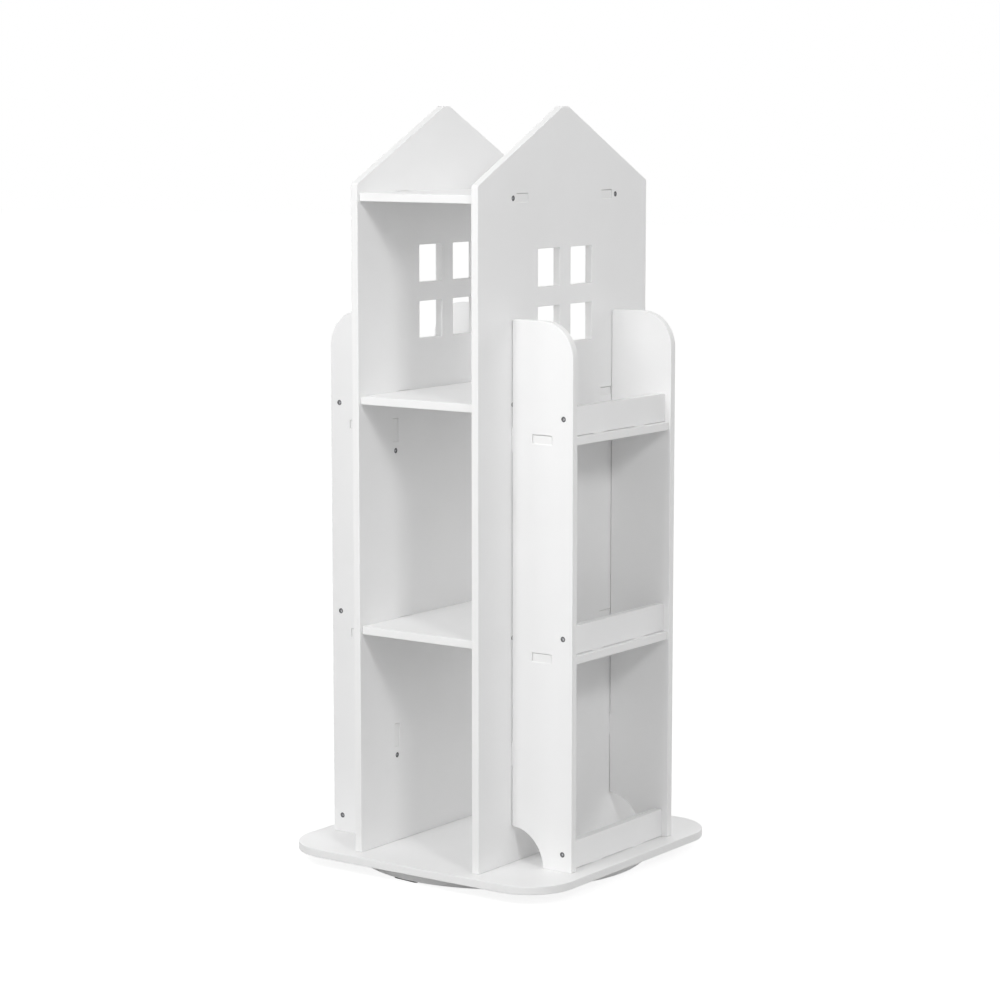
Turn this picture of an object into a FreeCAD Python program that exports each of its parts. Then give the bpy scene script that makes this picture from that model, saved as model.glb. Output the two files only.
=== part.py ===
"""Revolving house-shaped bookcase: tab-and-slot painted boards on a caged-ball turntable.

Millimetres, +Z up.  The origin is the middle of the floor contact.  X runs across the two
house panels, Y along them, and the carousel turns about Z.
"""
import FreeCAD
import Part
import math
import os

# Boards
board = 12.0                  # thickness of every upright, shelf, lip and the base plate
edge_radius = 1.0             # eased arris round both faces of every board
plan_radius = 3.0             # rounding of the inner top corner of a side panel
foot_corner_radius = 1.5      # and of the corners that stand on, or butt against, another board

# Joints: every tab rests on the lower end of its slot, so its play is above and beside it
tab_side_play = 0.5
tab_headroom = 0.6
tab_face_play = 0.2           # across the thickness of a tab
tab_recess = 1.0              # a tab ends this far below the face that it comes through to
upright_seam = 0.7            # open joint between a side panel and its house panel
lip_seam = 0.5                # open joint under a lip, between its tabs

# House panels and the three shelves between them
panel_depth = 432.0
eave_height = 980.0           # above the deck, the top face of the base plate
apex_height = 1093.5          # where the two slopes would meet
ridge_flat = 14.0             # width of the level cut across the top
eave_radius = 5.0             # rounding of the eaves and of the two corners of the ridge
shelf_span = 201.0            # clear width between the house panels
shelf_recess = 5.0            # shelf ends stand back from the panels' upright edges
lower_level = 338.0           # top face of each shelf above the deck
middle_level = 675.0
roof_level = 967.0
shelf_tab_width = 27.0
shelf_tab_offset = 108.0      # middle of a shelf tab from the middle of the panel
shelf_screw_offset = 131.0

# Four-pane window in each house panel
pane_width = 55.0
pane_height = 55.0
mullion = 28.0                # upright bar between panes
transom = 28.0                # level bar between panes
window_level = 818.5          # middle of the window above the deck
pane_corner_radius = 1.5

# Side units: two upright panels, two shelves and three lips on each side
side_panel_width = 105.0
side_panel_height = 790.5
side_bay_width = 245.0        # clear width between the two uprights of a side unit
side_top_radius = 52.5
arch_radius = 55.0            # quarter-round cut at the inner bottom corner
side_tab_height = 34.0        # tab on the inner edge, through the house panel
lower_side_tab_level = 161.0  # middle of the tab above the deck
upper_side_tab_level = 618.0
side_screw_drop = 30.0        # screw below the middle of its tab
side_lower_level = 314.0      # top face of each side shelf above the deck
side_upper_level = 628.0
side_shelf_recess = 3.0
side_shelf_tab_width = 32.5
side_shelf_tab_offset = 52.5  # middle of the tab from the house panel

# Lips that keep the books in
lip_height = 42.0
lip_setback = 10.0            # outer face of a lip from the uprights' outer edge
lip_corner_radius = 2.5
lip_tab_width = 28.0
lip_tab_offset = 54.0
lip_screw_height = 25.5

# Base plate, ground disc and foot pads
base_width = 480.0
base_corner_radius = 75.0
disc_radius = 218.0
disc_thickness = 9.0
pad_count = 6
pad_length = 45.0
pad_width = 20.0
pad_thickness = 2.0
pad_setback = 13.0            # middle of a pad inside the rim of the disc
pad_corner_radius = 4.0
first_pad_angle = 24.0

# Turntable bearing: two grooved rings with a row of caged balls between them
bearing_height = 7.0          # from the disc to the base plate
bearing_lift = 0.6            # each ring stays this far from the plate that it isn't fixed to
ball_circle_radius = 140.0
ball_diameter = 4.0
ball_count = 24
ball_clearance = 0.05
ring_gap = 1.6
ring_width = 21.0
ring_edge_chamfer = 0.5
cage_thickness = 0.8
cage_margin = 0.6             # cage wall above and below a ball pocket
ring_screw_count = 8

# Screws with a countersunk head and a hexagon socket, and wooden dowels
head_diameter = 8.0
head_rim = 0.6                # straight rim above the head's cone
shank_diameter = 4.0
socket_across_flats = 3.0
socket_depth = 1.8
point_length = 3.0
point_diameter = 1.0
head_recess = 0.5             # head below the board's face
screw_clearance = 0.05
board_screw_length = 40.0
lip_screw_length = 35.0
base_screw_length = 38.0
base_screw_offset = 170.0     # outer screws of a house panel from its middle
foot_screw_offset = 80.0      # screw under a side panel from the house panel
ring_screw_length = 14.0
disc_screw_length = 13.0
dowel_diameter = 6.0
dowel_length = 30.0
dowel_chamfer = 0.8
dowel_depth_in_base = 8.0
dowel_offset = 95.0

# Levels above the floor
disc_top = pad_thickness + disc_thickness
base_bottom = disc_top + bearing_height
deck = base_bottom + board

# Places across and along the house panels
inner_face = shelf_span / 2
outer_face = inner_face + board
side_edge = outer_face + side_panel_width
panel_middle = inner_face + board / 2
bay_inner = side_bay_width / 2
bay_outer = bay_inner + board
bay_middle = bay_inner + board / 2
lip_outer = side_edge - lip_setback
lip_middle = lip_outer - board / 2

shelf_levels = {"lower": lower_level, "middle": middle_level, "roof": roof_level}
side_levels = {"lower": side_lower_level, "upper": side_upper_level}
lip_levels = {"base": 0.0, "lower": side_lower_level, "upper": side_upper_level}
side_tab_levels = (lower_side_tab_level, upper_side_tab_level)
sides = {"left": -1, "right": 1}
ends = {"front": -1, "rear": 1}
both_ways = (-1, 1)

ease = min(edge_radius, board / 4)
through = 2 * board           # a tool that starts half a board outside passes right through
negligible = 0.01             # shorter than any real edge
X_AXIS = FreeCAD.Vector(1, 0, 0)
Y_AXIS = FreeCAD.Vector(0, 1, 0)
Z_AXIS = FreeCAD.Vector(0, 0, 1)


def vector(x, y, z):
    return FreeCAD.Vector(x, y, z)


def box(x_range, y_range, z_range):
    """Box between two values on each axis, given in either order."""
    low = [min(pair) for pair in (x_range, y_range, z_range)]
    size = [max(pair) - min(pair) for pair in (x_range, y_range, z_range)]
    return Part.makeBox(*size, vector(*low))


def outline(corners):
    """Closed wire through (point, radius) corners, each rounded by its own radius."""
    points = [point for point, radius in corners]
    edges = []
    starts = []
    stops = []
    arcs = []
    for index, (point, radius) in enumerate(corners):
        towards_last = (points[index - 1] - point).normalize()
        towards_next = (points[(index + 1) % len(points)] - point).normalize()
        half_angle = towards_last.getAngle(towards_next) / 2
        reach = radius / math.tan(half_angle)
        bisector = (towards_last + towards_next).normalize()
        crown = point + bisector * (radius / math.sin(half_angle) - radius)
        starts.append(point + towards_last * reach)
        stops.append(point + towards_next * reach)
        arcs.append(Part.Arc(starts[-1], crown, stops[-1]).toShape())
    for index, arc in enumerate(arcs):
        edges.append(arc)
        following = starts[(index + 1) % len(arcs)]
        if stops[index].distanceToPoint(following) > negligible:
            edges.append(Part.makeLine(stops[index], following))
    return Part.Wire(edges)


def rounded_plate(corners, along):
    """Plate with the given rounded outline, as thick as the vector it is pushed along."""
    return Part.Face(outline(corners)).extrude(along)


def eased(plate, along, entries=()):
    """Plate with the edges round both of its faces softened, but sharp where a tab goes in."""
    direction = vector(*along).normalize()
    sharp = [entry.BoundBox for entry in entries]
    for bounds in sharp:
        bounds.enlarge(negligible)
    rims = [edge for edge in plate.Edges
            if all(abs((vertex.Point - edge.Vertexes[0].Point).dot(direction)) < negligible
                   for vertex in edge.Vertexes)
            and abs(edge.tangentAt(edge.FirstParameter).dot(direction)) < negligible
            and not any(bounds.isInside(edge.CenterOfMass) for bounds in sharp)]
    return plate.makeFillet(ease, rims)


def corner_list(points, radius):
    return [(point, radius) for point in points]


def rectangle(across, up, across_range, up_range, origin, radius):
    """Corners of a rectangle in the plane of two unit vectors."""
    low_a, high_a = across_range
    low_u, high_u = up_range
    places = ((low_a, low_u), (high_a, low_u), (high_a, high_u), (low_a, high_u))
    return corner_list([origin + across * a + up * u for a, u in places], radius)


def turned(shape, start, direction):
    """Shape drawn from the origin along +Z, put at a point and pointed along a direction."""
    copy = shape.copy()
    copy.Placement = FreeCAD.Placement(start, FreeCAD.Rotation(Z_AXIS, direction))
    return copy


# ---------------------------------------------------------------- fasteners

def screw_blank(length, clearance):
    """Turned shape of a screw from its head's face along +Z, grown by a clearance."""
    head = head_diameter / 2 + clearance
    shank = shank_diameter / 2 + clearance
    cone_end = head_rim + head - shank
    profile = [vector(0, 0, 0), vector(head, 0, 0), vector(head, 0, head_rim),
               vector(shank, 0, cone_end), vector(shank, 0, length - point_length),
               vector(point_diameter / 2, 0, length), vector(0, 0, length), vector(0, 0, 0)]
    return Part.Face(Part.makePolygon(profile)).revolve(vector(0, 0, 0), Z_AXIS, 360)


def hexagon_socket():
    corner = socket_across_flats / math.sqrt(3)
    points = [vector(corner * math.cos(math.radians(60 * step)),
                     corner * math.sin(math.radians(60 * step)), 0) for step in range(7)]
    return Part.Face(Part.makePolygon(points)).extrude(Z_AXIS * socket_depth)


def screw(length):
    return screw_blank(length, 0).cut(hexagon_socket())


def screw_hole(length, recess):
    """What a screw needs cleared: its own shape, and any recess above its head."""
    blank = screw_blank(length + screw_clearance, screw_clearance)
    if recess < negligible:
        return blank
    mouth = Part.makeCylinder(head_diameter / 2 + screw_clearance, recess,
                              vector(0, 0, -recess))
    return blank.fuse(mouth)


def shelf_screw_places():
    return [(vector(side * (outer_face - head_recess), end * shelf_screw_offset,
                    deck + level - board / 2), X_AXIS * -side)
            for side in both_ways for end in both_ways for level in shelf_levels.values()]


def side_panel_screw_places():
    return [(vector(side * (inner_face + head_recess), end * bay_middle,
                    deck + level - side_screw_drop), X_AXIS * side)
            for side in both_ways for end in both_ways for level in side_tab_levels]


def lip_screw_places():
    return [(vector(side * lip_middle, end * (bay_outer - head_recess),
                    deck + level + lip_screw_height), Y_AXIS * -end)
            for side in both_ways for end in both_ways for level in lip_levels.values()]


def base_screw_places():
    under_panels = [vector(side * panel_middle, place, base_bottom + head_recess)
                    for side in both_ways for place in (-base_screw_offset, 0, base_screw_offset)]
    under_sides = [vector(side * (outer_face + foot_screw_offset), end * bay_middle,
                          base_bottom + head_recess)
                   for side in both_ways for end in both_ways]
    return [(start, Z_AXIS) for start in under_panels + under_sides]


def ring_places(radius, level, direction):
    """Evenly spaced places round the turning axis."""
    step = 2 * math.pi / ring_screw_count
    return [(vector(radius * math.cos(step * turn), radius * math.sin(step * turn), level),
             direction) for turn in range(ring_screw_count)]


inner_ring_middle = ball_circle_radius - (ring_gap + ring_width) / 2
outer_ring_middle = ball_circle_radius + (ring_gap + ring_width) / 2
outer_ring_bottom = disc_top + bearing_lift

screw_groups = {
    "shelf_screws": (board_screw_length, shelf_screw_places(), head_recess),
    "side_panel_screws": (board_screw_length, side_panel_screw_places(), head_recess),
    "lip_screws": (lip_screw_length, lip_screw_places(), head_recess),
    "base_screws": (base_screw_length, base_screw_places(), head_recess),
    "bearing_screws": (ring_screw_length,
                       ring_places(outer_ring_middle, outer_ring_bottom, Z_AXIS), 0.0),
    "ground_disc_screws": (disc_screw_length,
                           ring_places(inner_ring_middle, pad_thickness, Z_AXIS), 0.0),
}


def dowel_starts():
    return [vector(side * panel_middle, end * dowel_offset, deck - dowel_depth_in_base)
            for side in both_ways for end in both_ways]


def dowels():
    """Beech dowels that line the house panels up with the base plate."""
    pegs = []
    for start in dowel_starts():
        peg = Part.makeCylinder(dowel_diameter / 2, dowel_length, start)
        rims = [edge for edge in peg.Edges if isinstance(edge.Curve, Part.Circle)]
        pegs.append(peg.makeChamfer(dowel_chamfer, rims))
    return pegs


def dowel_holes():
    return [Part.makeCylinder(dowel_diameter / 2 + screw_clearance,
                              dowel_length + 2 * screw_clearance,
                              start - Z_AXIS * screw_clearance) for start in dowel_starts()]


def all_holes():
    holes = dowel_holes()
    for length, places, recess in screw_groups.values():
        tool = screw_hole(length, recess)
        holes += [turned(tool, start, direction) for start, direction in places]
    return holes


hole_tools = all_holes()


def drilled(shape):
    """Shape with every screw and dowel hole that passes through it."""
    reach = shape.BoundBox
    tools = [tool for tool in hole_tools if tool.BoundBox.intersect(reach)]
    return shape.cut(tools)


# ---------------------------------------------------------------- tabs and slots

# Play beside, above and across a tab, and how far past the face that it comes through to.
# A mouth is its slot as far as the tab reaches, and the rims that lie in it stay sharp.
tab_fit = (0.0, 0.0, 0.0, -tab_recess)
slot_fit = (tab_side_play, tab_headroom, tab_face_play, board)
mouth_fit = (tab_side_play, tab_headroom, tab_face_play, -tab_recess)


def shelf_tab(side, end, level, fit):
    """Tab on a shelf's end, or the slot through the house panel that it fits."""
    play, headroom, _, past = fit
    middle = end * shelf_tab_offset
    half = shelf_tab_width / 2 + play
    return box((side * (inner_face - board), side * (outer_face + past)),
               (middle - half, middle + half),
               (deck + level - board, deck + level + headroom))


def side_panel_tab(side, end, level, fit):
    """Tab on a side panel's inner edge, or the slot through the house panel."""
    _, headroom, play, past = fit
    half = side_tab_height / 2
    return box((side * (inner_face - past), side * (outer_face + board)),
               (end * (bay_inner - play), end * (bay_outer + play)),
               (deck + level - half, deck + level + half + headroom))


def side_shelf_tab(side, end, level, fit):
    """Tab on a side shelf's end, or the slot through the side panel."""
    play, headroom, _, past = fit
    middle = side * (outer_face + side_shelf_tab_offset)
    half = side_shelf_tab_width / 2 + play
    return box((middle - half, middle + half),
               (end * (bay_inner - board), end * (bay_outer + past)),
               (deck + level - board, deck + level + headroom))


def lip_tab(side, end, level, fit):
    """Tab under a lip, or its slot; the tab bears on the outer side of the slot."""
    play, _, slack, past = fit
    middle = end * lip_tab_offset
    half = lip_tab_width / 2 + play
    return box((side * lip_outer, side * (lip_outer - board - slack)),
               (middle - half, middle + half),
               (deck + level - board - past, deck + level + board))


# ---------------------------------------------------------------- boards

def window_panes(side):
    """The four openings of a window, as tools that pass right through the panel."""
    panes = []
    for across in both_ways:
        for up in both_ways:
            low_y = across * (mullion + pane_width) / 2 - pane_width / 2
            low_z = deck + window_level + up * (transom + pane_height) / 2 - pane_height / 2
            corners = rectangle(Y_AXIS, Z_AXIS, (low_y, low_y + pane_width),
                                (low_z, low_z + pane_height),
                                vector(side * (inner_face - board / 2), 0, 0),
                                pane_corner_radius)
            panes.append(rounded_plate(corners, X_AXIS * side * through))
    return panes


def house_panel(side):
    """Gabled panel with its window, the slots for shelves and side panels, and its holes."""
    half = panel_depth / 2
    half_ridge = ridge_flat / 2
    ridge_height = apex_height - (apex_height - eave_height) * half_ridge / half
    profile = ((-half, 0, foot_corner_radius), (half, 0, foot_corner_radius),
               (half, eave_height, eave_radius), (half_ridge, ridge_height, eave_radius),
               (-half_ridge, ridge_height, eave_radius), (-half, eave_height, eave_radius))
    corners = [(vector(side * inner_face, y, deck + z), radius) for y, z, radius in profile]
    plate = rounded_plate(corners, X_AXIS * side * board)
    slots, mouths = [[shelf_tab(side, end, level, fit)
                      for end in both_ways for level in shelf_levels.values()]
                     + [side_panel_tab(side, end, level, fit)
                        for end in both_ways for level in side_tab_levels]
                     for fit in (slot_fit, mouth_fit)]
    return drilled(eased(plate.cut(slots + window_panes(side)), X_AXIS, mouths))


def shelf(level):
    """Full-depth shelf with two tabs on each end."""
    half = panel_depth / 2 - shelf_recess
    corners = rectangle(X_AXIS, Y_AXIS, (-inner_face, inner_face), (-half, half),
                        vector(0, 0, deck + level - board), foot_corner_radius)
    plate = eased(rounded_plate(corners, Z_AXIS * board), Z_AXIS)
    tabs = [shelf_tab(side, end, level, tab_fit) for side in both_ways for end in both_ways]
    return drilled(plate.fuse(tabs).removeSplitter())


def side_panel(side, end):
    """Upright of a side unit: rounded top, arched foot and two tabs on its inner edge."""
    origin = vector(0, end * bay_inner, deck)
    inner_edge = X_AXIS * side * (outer_face + upright_seam)
    outer_edge = X_AXIS * side * side_edge
    top = Z_AXIS * side_panel_height
    corners = [(origin + inner_edge, foot_corner_radius), (origin + outer_edge, foot_corner_radius),
               (origin + outer_edge + top, side_top_radius),
               (origin + inner_edge + top, plan_radius)]
    plate = rounded_plate(corners, Y_AXIS * end * board)
    arch = Part.makeCylinder(arch_radius, through,
                             origin + X_AXIS * side * outer_face - Y_AXIS * end * board / 2,
                             Y_AXIS * end)
    slots, mouths = [[side_shelf_tab(side, end, level, fit) for level in side_levels.values()]
                     for fit in (slot_fit, mouth_fit)]
    tabs = [side_panel_tab(side, end, level, tab_fit) for level in side_tab_levels]
    softened = eased(plate.cut([arch] + slots), Y_AXIS, mouths)
    return drilled(softened.fuse(tabs).removeSplitter())


def side_shelf(side, level):
    """Short shelf between the uprights of a side unit, slotted for its lip."""
    corners = rectangle(X_AXIS * side, Y_AXIS, (outer_face, side_edge - side_shelf_recess),
                        (-bay_inner, bay_inner), vector(0, 0, deck + level - board),
                        foot_corner_radius)
    plate = eased(rounded_plate(corners, Z_AXIS * board), Z_AXIS)
    tabs = [side_shelf_tab(side, end, level, tab_fit) for end in both_ways]
    slots = [lip_tab(side, end, level, slot_fit) for end in both_ways]
    return drilled(plate.fuse(tabs).removeSplitter().cut(slots))


def lip(side, level):
    """Upright board in front of the books, with two tabs on its lower edge."""
    origin = vector(side * (lip_outer - board), 0, deck + level)
    places = ((-bay_inner, lip_seam, foot_corner_radius), (bay_inner, lip_seam, foot_corner_radius),
              (bay_inner, lip_height, lip_corner_radius),
              (-bay_inner, lip_height, lip_corner_radius))
    corners = [(origin + Y_AXIS * y + Z_AXIS * z, radius) for y, z, radius in places]
    plate = eased(rounded_plate(corners, X_AXIS * side * board), X_AXIS)
    tabs = [lip_tab(side, end, level, tab_fit) for end in both_ways]
    return drilled(plate.fuse(tabs).removeSplitter())


def base_plate():
    """Rounded-square plate that carries the whole bookcase on the bearing."""
    half = base_width / 2
    corners = rectangle(X_AXIS, Y_AXIS, (-half, half), (-half, half),
                        vector(0, 0, base_bottom), base_corner_radius)
    plate = eased(rounded_plate(corners, Z_AXIS * board), Z_AXIS)
    slots = [lip_tab(side, end, 0, slot_fit) for side in both_ways for end in both_ways]
    return drilled(plate.cut(slots))


# ---------------------------------------------------------------- turntable

def ring(inner_radius, bottom):
    """Bearing ring with a ball groove in the side that faces the ball circle."""
    height = bearing_height - bearing_lift
    centre = vector(0, 0, bottom)
    body = Part.makeCylinder(inner_radius + ring_width, height, centre)
    body = body.cut(Part.makeCylinder(inner_radius, height, centre))
    rims = [edge for edge in body.Edges if isinstance(edge.Curve, Part.Circle)]
    body = body.makeChamfer(ring_edge_chamfer, rims)
    groove = Part.makeTorus(ball_circle_radius, ball_diameter / 2 + ball_clearance,
                            vector(0, 0, disc_top + bearing_height / 2))
    return drilled(body.cut(groove))


def fixed_ring():
    return ring(ball_circle_radius - ring_gap / 2 - ring_width, disc_top)


def turning_ring():
    return ring(ball_circle_radius + ring_gap / 2, outer_ring_bottom)


def ball_places():
    step = 2 * math.pi / ball_count
    middle = disc_top + bearing_height / 2
    return [vector(ball_circle_radius * math.cos(step * turn),
                   ball_circle_radius * math.sin(step * turn), middle)
            for turn in range(ball_count)]


def balls():
    return [Part.makeSphere(ball_diameter / 2, place) for place in ball_places()]


def ball_cage():
    """Thin band between the rings with a round pocket for each ball."""
    height = ball_diameter + 2 * (ball_clearance + cage_margin)
    bottom = vector(0, 0, disc_top + (bearing_height - height) / 2)
    band = Part.makeCylinder(ball_circle_radius + cage_thickness / 2, height, bottom)
    band = band.cut(Part.makeCylinder(ball_circle_radius - cage_thickness / 2, height, bottom))
    pocket = ball_diameter / 2 + ball_clearance
    pockets = []
    for place in ball_places():
        outward = vector(place.x, place.y, 0).normalize()
        start = place - outward * ball_diameter / 2
        pockets.append(Part.makeCylinder(pocket, ball_diameter, start, outward))
    return band.cut(pockets)


def ground_disc():
    disc = Part.makeCylinder(disc_radius, disc_thickness, vector(0, 0, pad_thickness))
    rims = [edge for edge in disc.Edges if isinstance(edge.Curve, Part.Circle)]
    return drilled(disc.makeFillet(min(edge_radius, disc_thickness / 4), rims))


def foot_pads():
    """Flat rubber pads stuck under the rim of the ground disc."""
    pads = []
    middle = disc_radius - pad_setback
    for count in range(pad_count):
        angle = first_pad_angle + count * 360 / pad_count
        corners = rectangle(X_AXIS, Y_AXIS, (middle - pad_width / 2, middle + pad_width / 2),
                            (-pad_length / 2, pad_length / 2), vector(0, 0, 0),
                            pad_corner_radius)
        pad = rounded_plate(corners, Z_AXIS * pad_thickness)
        pad.rotate(vector(0, 0, 0), Z_AXIS, angle)
        pads.append(pad)
    return pads


# ---------------------------------------------------------------- the parts

def build():
    parts = {"base_plate": base_plate(), "alignment_dowels": Part.makeCompound(dowels()),
             "ground_disc": ground_disc(), "foot_pads": Part.makeCompound(foot_pads()),
             "bearing_fixed_ring": fixed_ring(), "bearing_turning_ring": turning_ring(),
             "bearing_ball_cage": ball_cage(), "bearing_balls": Part.makeCompound(balls())}
    for name, level in shelf_levels.items():
        parts[name + "_shelf"] = shelf(level)
    for hand, side in sides.items():
        parts["house_panel_" + hand] = house_panel(side)
        for place, end in ends.items():
            parts["side_panel_" + hand + "_" + place] = side_panel(side, end)
        for name, level in side_levels.items():
            parts["side_shelf_" + hand + "_" + name] = side_shelf(side, level)
        for name, level in lip_levels.items():
            parts["lip_" + hand + "_" + name] = lip(side, level)
    for name, (length, places, recess) in screw_groups.items():
        blank = screw(length)
        parts[name] = Part.makeCompound([turned(blank, start, way) for start, way in places])
    return parts


os.makedirs("parts", exist_ok=True)
for node, shape in build().items():
    shape.exportStep("parts/" + node + ".step")
    print(node, len(shape.Solids), round(shape.Volume), shape.isValid())
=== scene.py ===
import math

import bpy
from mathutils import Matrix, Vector

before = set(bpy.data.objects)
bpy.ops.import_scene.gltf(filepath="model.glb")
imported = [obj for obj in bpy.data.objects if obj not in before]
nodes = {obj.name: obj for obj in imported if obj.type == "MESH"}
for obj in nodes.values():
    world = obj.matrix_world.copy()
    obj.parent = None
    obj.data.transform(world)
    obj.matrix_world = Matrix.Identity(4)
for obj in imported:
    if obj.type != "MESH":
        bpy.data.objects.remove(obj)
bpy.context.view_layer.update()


# ---- Ground disc
# A 9 mm disc of fibreboard that stands on rubber pads and carries the fixed ring of the
# bearing. It has the satin white lacquer of every board: sprayed on, sanded once between
# two coats, a little drier and rougher on the cut edges, where the board drinks it.

X, Y, Z = range(3)


class Wire:
    """Output socket of a shader node. Python's operators join it to others by Math nodes."""

    def __init__(self, tree, socket=None):
        self.tree = tree
        self.socket = socket

    def node(self, kind, settings=None, inputs=None, output=0):
        """Adds a node, sets it up, feeds it values or wires and returns one of its outputs."""
        made = self.tree.nodes.new(kind)
        for name, value in (settings or {}).items():
            setattr(made, name, value)
        for name, value in (inputs or {}).items():
            if isinstance(value, Wire):
                self.tree.links.new(value.socket, made.inputs[name])
            else:
                made.inputs[name].default_value = value
        return Wire(self.tree, made.outputs[output] if made.outputs else None)

    def math(self, operation, *values):
        """Math node with these values or wires in its sockets, from the first one on."""
        return self.node("ShaderNodeMath", {"operation": operation}, dict(enumerate(values)))

    def vector_math(self, operation, *values, output=0):
        """The same for vectors."""
        return self.node("ShaderNodeVectorMath", {"operation": operation},
                         dict(enumerate(values)), output)

    def __add__(self, other):
        return self.math("ADD", self, other)

    def __radd__(self, other):
        return self.math("ADD", other, self)

    def __sub__(self, other):
        return self.math("SUBTRACT", self, other)

    def __rsub__(self, other):
        return self.math("SUBTRACT", other, self)

    def __mul__(self, other):
        return self.math("MULTIPLY", self, other)

    def __rmul__(self, other):
        return self.math("MULTIPLY", other, self)

    def __abs__(self):
        return self.math("ABSOLUTE", self)

    def along(self, axis):
        """The number of this vector on one axis."""
        return self.node("ShaderNodeSeparateXYZ", inputs={"Vector": self}, output=axis)

    def levelled(self):
        """This vector with nothing along Z."""
        return self.vector_math("MULTIPLY", self, (1, 1, 0))

    def ramp(self, start, end):
        """Goes smoothly from 0 to 1 as this wire goes from start to end, up or down."""
        steps = {"Value": self, "From Min": start, "From Max": end}
        return self.node("ShaderNodeMapRange", {"interpolation_type": "SMOOTHSTEP"}, steps)

    def noise(self, size, detail, squeeze=(1, 1, 1)):
        """Cloudy pattern of a size in metres, squeezed so many times along each axis."""
        place = self.vector_math("MULTIPLY", self, Vector(squeeze) / size)
        return place.node("ShaderNodeTexNoise",
                          inputs={"Vector": place, "Scale": 1.0, "Detail": detail})

    def tint(self, first, second):
        """Goes from the first colour to the second as this wire goes from 0 to 1."""
        colours = [end if isinstance(end, Wire) else (*end, 1) for end in (first, second)]
        return self.node("ShaderNodeMix", {"data_type": "RGBA"},
                         {0: self, 6: colours[0], 7: colours[1]}, output=2)


def first_wire(owner):
    """Empties the nodes of a material or a world, and returns a wire to start from."""
    owner.use_nodes = True
    owner.node_tree.nodes.clear()
    return Wire(owner.node_tree)


def new_finish(name):
    """Empty node material, with the wire of its object coordinates to start from."""
    material = bpy.data.materials.new(name)
    return material, first_wire(material).node("ShaderNodeTexCoord", output="Object")


def close_finish(wire, shader_inputs):
    """Puts the main shader and the output at the end of a material."""
    shader = wire.node("ShaderNodeBsdfPrincipled", inputs=shader_inputs)
    shader.node("ShaderNodeOutputMaterial", inputs={"Surface": shader})


def bump(height):
    """Normal of a surface with this height pattern, in metres."""
    return height.node("ShaderNodeBump", inputs={"Height": height, "Distance": 1.0,
                                                 "Strength": 1.0}, output="Normal")


lacquer_white = (0.900, 0.900, 0.900)
lacquer_shade = (0.880, 0.880, 0.879)
cut_edge_white = (0.885, 0.885, 0.881)
peel_depth = 0.000030
wave_depth = 0.000072
fibre_depth = 0.000060
dent_depth = 0.000360
dents_per_metre = 9.0


def lacquered_board(name, across):
    """Satin white lacquer on fibreboard; across is the axis through the board, X, Y or Z."""
    material, place = new_finish(name)
    facing = abs(place.node("ShaderNodeTexCoord", output="Normal").along(across))
    cut_edge = facing.ramp(start=0.55, end=0.2)
    peel = place.noise(size=0.0022, detail=1.0)
    waves = place.noise(size=0.030, detail=1.0)
    clouds = place.noise(size=0.17, detail=3.0)
    layers = [0.35, 0.35, 0.35]
    layers[across] = 1.6
    fibres = place.noise(size=0.0011, detail=3.0, squeeze=layers)
    off_dent = place.node("ShaderNodeTexVoronoi", {"feature": "F1"},
                          {"Vector": place, "Scale": dents_per_metre}, "Distance")
    dents = off_dent.ramp(start=0.022, end=0.006)
    height = (peel_depth * peel + wave_depth * waves + fibre_depth * fibres * cut_edge
              - dent_depth * dents)
    faces = clouds.ramp(start=0.35, end=0.75).tint(lacquer_white, lacquer_shade)
    close_finish(height, {"Base Color": (cut_edge * 0.8).tint(faces, cut_edge_white),
                          "Roughness": 0.40 + 0.07 * clouds + 0.10 * cut_edge,
                          "Normal": bump(height)})
    return material


board_across = {axis: lacquered_board("lacquered_board_" + "xyz"[axis], axis)
                for axis in (X, Y, Z)}


def finish_node(name, material):
    """Gives a CAD node its material."""
    nodes[name].data.materials.clear()
    nodes[name].data.materials.append(material)


finish_node("ground_disc", board_across[Z])


# ---- Foot pads
# Six dark rubber pads, cut from 2 mm sheet with rounded corners and glued under the rim of
# the ground disc. The rubber is matt, with a fine grain and a little dust in it.

rubber_black = (0.030, 0.030, 0.031)
dusty_black = (0.085, 0.083, 0.080)
rubber_grain_depth = 0.00015


def rubber():
    """Matt black rubber with patches of dust."""
    material, place = new_finish("pad_rubber")
    grain = place.noise(size=0.0007, detail=2.0)
    dust = place.noise(size=0.012, detail=4.0).ramp(start=0.45, end=0.8)
    close_finish(grain, {"Base Color": dust.tint(rubber_black, dusty_black),
                         "Roughness": 0.72 + 0.16 * dust,
                         "Normal": bump(rubber_grain_depth * grain)})
    return material


finish_node("foot_pads", rubber())


# ---- Bearing rings
# Two flat aluminium rings, turned with a ball groove in the sides that face each other. The
# inner one is screwed to the ground disc and the outer one to the base plate.

clean_aluminium = (0.70, 0.71, 0.72)
smeared_aluminium = (0.60, 0.61, 0.62)
tool_marks_per_metre = 4000.0
tool_mark_depth = 0.00004


def turned_aluminium():
    """Bare aluminium with the rings that a lathe tool leaves round the turning axis."""
    material, place = new_finish("turned_aluminium")
    radius = place.vector_math("LENGTH", place.levelled(), output="Value")
    rounds = radius.node("ShaderNodeTexNoise", {"noise_dimensions": "1D"},
                         {"W": radius, "Scale": tool_marks_per_metre, "Detail": 3.0})
    smears = place.noise(size=0.02, detail=3.0)
    close_finish(rounds, {"Base Color": smears.tint(clean_aluminium, smeared_aluminium),
                          "Metallic": 1.0,
                          "Roughness": 0.28 + 0.14 * rounds + 0.06 * smears,
                          "Normal": bump(tool_mark_depth * rounds)})
    return material


aluminium = turned_aluminium()
finish_node("bearing_fixed_ring", aluminium)
finish_node("bearing_turning_ring", aluminium)


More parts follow.
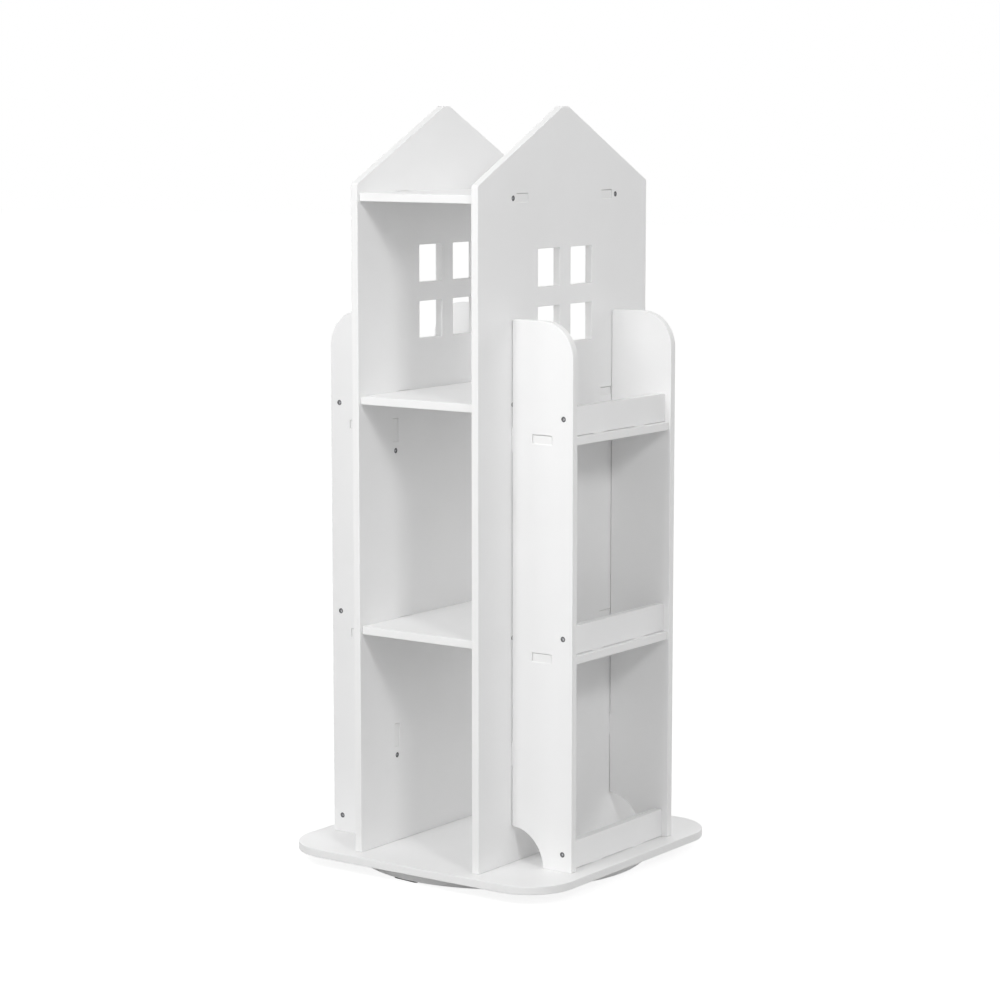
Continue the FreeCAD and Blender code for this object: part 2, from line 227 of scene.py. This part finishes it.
# ---- Ball cage and balls
# A natural nylon band with a round pocket for each ball, and 24 polished steel balls with a
# thin film of grease. They roll between the rings and follow at half the carousel's speed.

nylon_light = (0.74, 0.71, 0.63)
nylon_dark = (0.68, 0.65, 0.57)
mould_grain_depth = 0.00003
polished_steel = (0.66, 0.66, 0.67)
grease_tan = (0.50, 0.49, 0.45)
grease_depth = 0.00002


def nylon():
    """Natural nylon, a little see-through, as it comes out of the mould."""
    material, place = new_finish("cage_nylon")
    mould = place.noise(size=0.004, detail=3.0)
    close_finish(mould, {"Base Color": mould.tint(nylon_light, nylon_dark),
                         "Subsurface Weight": 0.15,
                         "Subsurface Scale": 0.001,
                         "Roughness": 0.42 + 0.1 * mould,
                         "Normal": bump(mould_grain_depth * mould)})
    return material


def greased_steel():
    """Polished steel with patches of grease that dull it."""
    material, place = new_finish("greased_steel")
    grease = place.noise(size=0.0025, detail=3.0).ramp(start=0.4, end=0.7)
    close_finish(grease, {"Base Color": grease.tint(polished_steel, grease_tan),
                          "Metallic": 1.0,
                          "Roughness": 0.08 + 0.22 * grease,
                          "Normal": bump(grease_depth * grease)})
    return material


finish_node("bearing_ball_cage", nylon())
finish_node("bearing_balls", greased_steel())


# ---- Base plate
# A rounded-square 12 mm fibreboard that turns on the bearing. It is cut through for the tabs
# of the lowest lips, and screws come up through it into the uprights.

finish_node("base_plate", board_across[Z])


# ---- House panels
# Two gabled uprights of 12 mm fibreboard with a four-pane window. Routed slots take the tabs
# of the shelves from inside and those of the side units from outside.

for hand in ("left", "right"):
    finish_node("house_panel_" + hand, board_across[X])


# ---- Shelves between the house panels
# Three full-depth 12 mm shelves, each with two tabs on each end that show as a faint outline
# on the outside of the panels.

for level in ("lower", "middle", "roof"):
    finish_node(level + "_shelf", board_across[Z])


# ---- Side units
# Each has two uprights with a rounded shoulder and an arched foot, and two short shelves.
# Everything is slotted together and held by screws into the edges.

for hand in ("left", "right"):
    for end in ("front", "rear"):
        finish_node(f"side_panel_{hand}_{end}", board_across[Y])
    for level in ("lower", "upper"):
        finish_node(f"side_shelf_{hand}_{level}", board_across[Z])


# ---- Lips
# Six low 12 mm boards that keep the books from sliding out. Each stands on two tabs, and a
# screw through the upright holds each of its ends.

for hand in ("left", "right"):
    for level in ("base", "lower", "upper"):
        finish_node(f"lip_{hand}_{level}", board_across[X])


# ---- Screws
# Countersunk screws with a hexagon socket, driven just below the lacquer. Their zinc plating
# has a dark grey film, and the socket is painted light grey as a painted highlight.

film_dark = (0.110, 0.110, 0.115)
film_light = (0.205, 0.205, 0.210)
socket_highlight_dark = (0.52, 0.52, 0.53)
socket_highlight_light = (0.72, 0.72, 0.73)
plating_grain_depth = 0.00004


def plated_screws(group, across, face, inwards):
    """Finish of a group of screws whose heads lie at face along one axis, in metres."""
    material, place = new_finish(group + "_plating")
    film = place.noise(size=0.0016, detail=4.0)
    sunk = (abs(place.along(across)) - face) * inwards
    socket = sunk.ramp(start=0.0002, end=0.0005)
    plated = film.ramp(start=0.3, end=0.7).tint(film_dark, film_light)
    # Painted highlight: the socket, deeper than the face of the head, gets light grey in place
    # of the film
    socket_highlight = film.tint(socket_highlight_dark, socket_highlight_light)
    close_finish(film, {"Base Color": socket.tint(plated, socket_highlight),
                        "Metallic": 1.0,
                        "Roughness": 0.42 - 0.14 * socket,
                        "Normal": bump(plating_grain_depth * film)})
    return material


# The axis that they lie along, the place of their heads on it and the way that they go in,
# which is -1 towards the middle of the bookcase and 1 away from it
for group, across, face, inwards in (("shelf_screws", X, 0.1120, -1),
                                     ("side_panel_screws", X, 0.1010, 1),
                                     ("lip_screws", Y, 0.1340, -1),
                                     ("base_screws", Z, 0.0185, 1),
                                     ("bearing_screws", Z, 0.0116, 1),
                                     ("ground_disc_screws", Z, 0.0020, 1)):
    finish_node(group, plated_screws(group, across, face, inwards))


# ---- Dowels
# Four beech dowels that line the house panels up with the base plate, bare wood with the
# flecks of beech along the grain.

beech_dark = (0.66, 0.48, 0.30)
beech_light = (0.80, 0.64, 0.44)
beech_grain_depth = 0.00006


def beech():
    """Bare beech, with its grain and flecks drawn out along the dowels."""
    material, place = new_finish("dowel_beech")
    grain = place.noise(size=0.0008, detail=3.0, squeeze=(1, 1, 0.12))
    specks = place.noise(size=0.0005, detail=1.0, squeeze=(1, 1, 0.25))
    flecks = specks.ramp(start=0.62, end=0.75)
    close_finish(grain, {"Base Color": (grain - 0.4 * flecks).tint(beech_dark, beech_light),
                         "Roughness": 0.62 + 0.1 * grain,
                         "Normal": bump(beech_grain_depth * grain)})
    return material


finish_node("alignment_dowels", beech())


# ---- Floor, light and camera
# A plain white floor that runs into a white room, so that only the soft shadow of the
# bookcase shows on it. Three soft boxes stand round the front, the backdrop glows, and the
# ceiling is dark.

def seen_background(wire):
    """1 for the rays of the camera, of gloss and of glass, which see the white background."""
    seen = sum(wire.node("ShaderNodeLightPath", output=ray)
               for ray in ("Is Camera Ray", "Is Glossy Ray", "Is Transmission Ray"))
    return seen.math("MINIMUM", seen, 1.0)


def grey(brightness):
    """Neutral colour for a shader's socket."""
    return (brightness, brightness, brightness, 1)


floor_grey = 0.53
seen_floor_grey = 0.30
seen_floor_glow = 0.86


def white_floor():
    """Grey where it lights the boards from below; where seen, white but for the shadow."""
    material = bpy.data.materials.new("white_floor")
    wire = first_wire(material)
    plain = wire.node("ShaderNodeBsdfDiffuse", inputs={"Color": grey(floor_grey)})
    shaded = wire.node("ShaderNodeBsdfDiffuse", inputs={"Color": grey(seen_floor_grey)})
    glow = wire.node("ShaderNodeEmission",
                     inputs={"Color": grey(1), "Strength": seen_floor_glow})
    white = wire.node("ShaderNodeAddShader", inputs={0: shaded, 1: glow})
    mixed = wire.node("ShaderNodeMixShader",
                      inputs={0: seen_background(wire), 1: plain, 2: white})
    mixed.node("ShaderNodeOutputMaterial", inputs={"Surface": mixed})
    return material


bpy.ops.mesh.primitive_plane_add(size=40, location=(0, 0, 0))
floor = bpy.context.object
floor.name = "floor"
floor.data.materials.append(white_floor())


def compass(azimuth, elevation=0.0):
    """Direction as the camera's is given: 0 is towards -Y and 90 towards +X, in degrees."""
    around, up = math.radians(azimuth), math.radians(elevation)
    return Vector((math.sin(around) * math.cos(up), -math.cos(around) * math.cos(up),
                   math.sin(up)))


room_light = 0.495
backdrop_light = 2.52
left_backdrop_light = 1.10

world = bpy.data.worlds.new("white_room")
bpy.context.scene.world = world
sky = first_wire(world)
direction = sky.node("ShaderNodeTexCoord", output="Generated")
height = direction.along(Z)
heading = direction.vector_math("NORMALIZE", direction.levelled())


def glow_towards(azimuth):
    """Soft patch of light low on one side of the room, 1 at its middle."""
    ahead = heading.vector_math("DOT_PRODUCT", heading, compass(azimuth), output="Value")
    sideways = ahead.ramp(start=0.55, end=1.0)
    from_below = height.ramp(start=-0.21, end=0.21)
    from_above = height.ramp(start=0.60, end=0.225)
    return sideways * from_below * from_above


below_ceiling = height.ramp(start=0.966, end=0.788)
lit = (room_light * below_ceiling + backdrop_light * glow_towards(180)
       + left_backdrop_light * glow_towards(225))
seen = seen_background(sky)
background = sky.node("ShaderNodeBackground",
                      inputs={"Color": grey(1), "Strength": lit + (1 - lit) * seen})
background.node("ShaderNodeOutputWorld", inputs={"Surface": background})

lamp_aim = Vector((0, 0, 0.55))
lamp_distance = 3.5


def soft_box(name, size, azimuth, elevation, power):
    """Square lamp that looks at the middle of the bookcase."""
    lamp = bpy.data.lights.new(name, "AREA")
    lamp.size = size
    lamp.energy = power
    holder = bpy.data.objects.new(name, lamp)
    bpy.context.scene.collection.objects.link(holder)
    towards = compass(azimuth, elevation)
    holder.location = lamp_aim + lamp_distance * towards
    holder.rotation_euler = towards.to_track_quat("Z", "Y").to_euler()


soft_box("front_lamp", size=0.8, azimuth=0, elevation=38, power=48.7)
soft_box("side_lamp", size=0.6, azimuth=60, elevation=31, power=25.8)
soft_box("left_lamp", size=1.2, azimuth=-28, elevation=13, power=9.5)

camera_data = bpy.data.cameras.new("camera")
camera_data.sensor_width = 36.0
camera_data.lens = 103.1
camera = bpy.data.objects.new("camera", camera_data)
bpy.context.scene.collection.objects.link(camera)
camera_distance = 4.2694
target = Vector((-0.0040, -0.0003, 0.5381))
back = compass(azimuth=35.55, elevation=7.793)
camera.location = target + camera_distance * back
camera.rotation_euler = back.to_track_quat("Z", "Y").to_euler()
bpy.context.scene.camera = camera
bpy.context.scene.view_settings.view_transform = "Standard"
